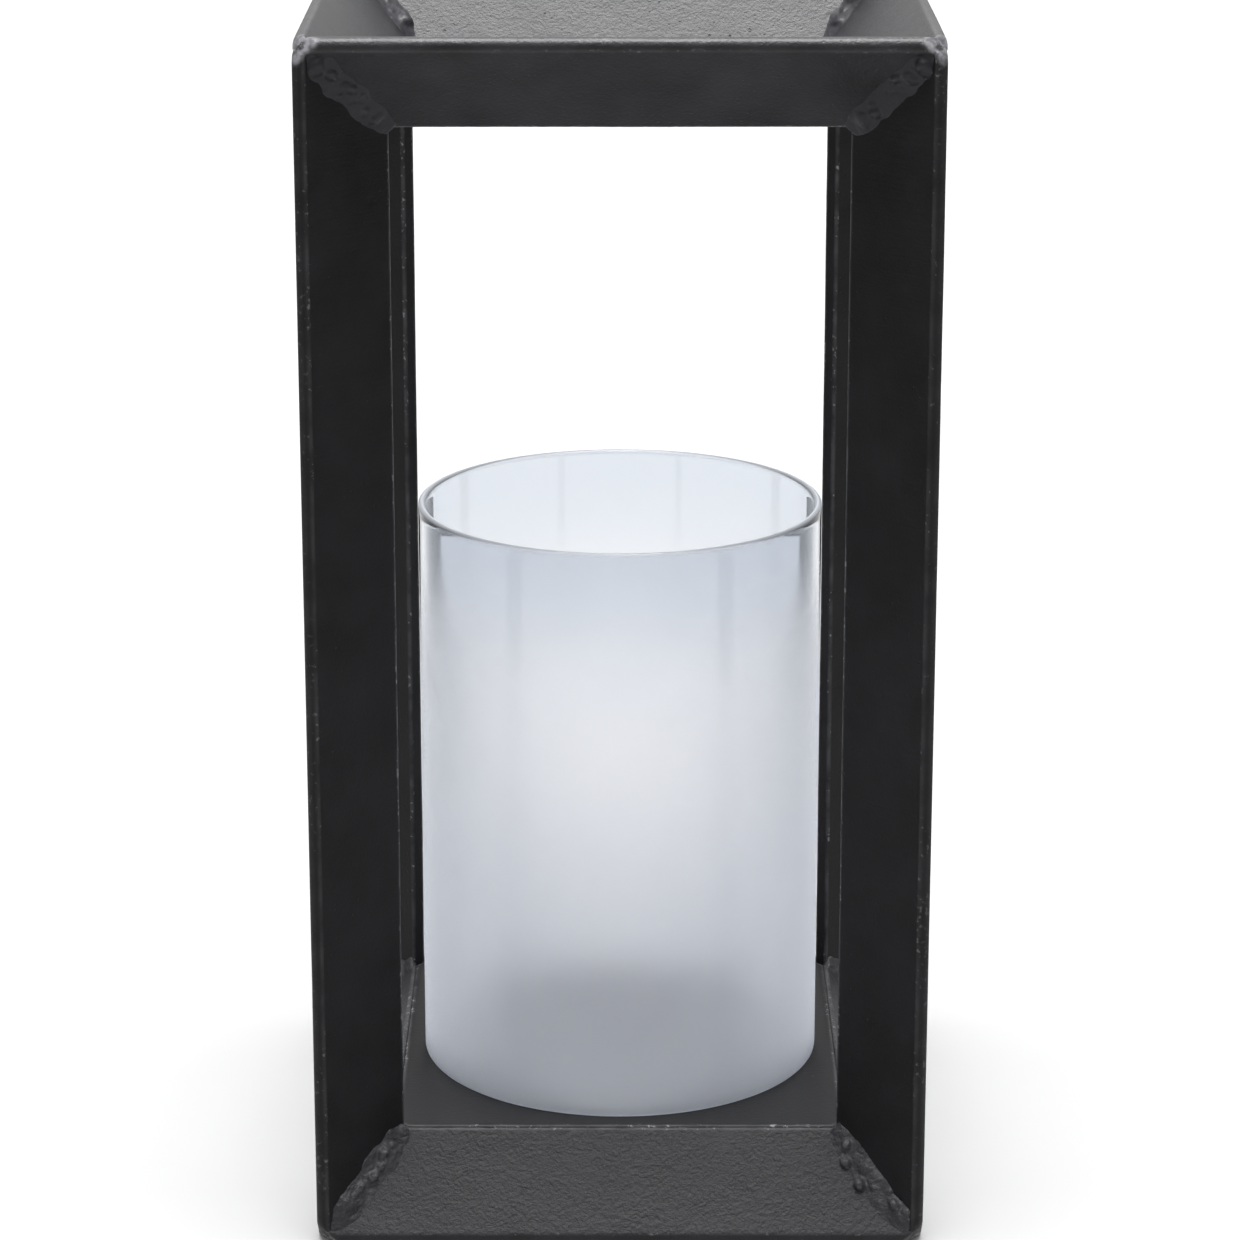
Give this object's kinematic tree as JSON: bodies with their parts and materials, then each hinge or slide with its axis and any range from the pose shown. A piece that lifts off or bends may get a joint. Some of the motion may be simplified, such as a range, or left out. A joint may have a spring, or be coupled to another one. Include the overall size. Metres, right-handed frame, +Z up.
{
  "type": "candle lantern",
  "caption": "Hurricane candle lantern: an open box frame of slanted cast plates, welded at the corners, with a square platform and a loose frosted glass cylinder open at both ends.",
  "frame": {"origin": "middle of the square footprint, on the table", "axes": "+Z up, -Y the front; the four sides are alike"},
  "size_m": [0.22, 0.22, 0.44],
  "materials": {
    "cast_frame": "sand-cast, painted graphite black, satin",
    "platform_plate": "smooth plate, painted graphite black, satin",
    "weld_metal": "lumpy weld, painted over, satin",
    "ombre_glass": "clear at the rim, frosted towards the base"
  },
  "bodies": {
    "frame": {"upright_front_left": "cast_frame", "upright_front_right": "cast_frame", "upright_back_right": "cast_frame", "upright_back_left": "cast_frame", "base_rail_front": "cast_frame", "base_rail_right": "cast_frame", "base_rail_back": "cast_frame", "base_rail_left": "cast_frame", "top_rail_front": "cast_frame", "top_rail_right": "cast_frame", "top_rail_back": "cast_frame", "top_rail_left": "cast_frame", "candle_platform": "platform_plate", "corner_weld_base_front_left": "weld_metal", "corner_weld_base_front_right": "weld_metal", "corner_weld_base_back_left": "weld_metal", "corner_weld_base_back_right": "weld_metal", "corner_weld_top_front_left": "weld_metal", "corner_weld_top_front_right": "weld_metal", "corner_weld_top_back_left": "weld_metal", "corner_weld_top_back_right": "weld_metal", "platform_tack_welds": "weld_metal"},
    "glass": {"hurricane_glass": "ombre_glass"}
  },
  "joints": [
    {"name": "glass_lift", "type": "slide", "parent": "frame", "child": "glass", "axis": [0, 0, 1], "range_m": [0, 0.415]}
  ]
}
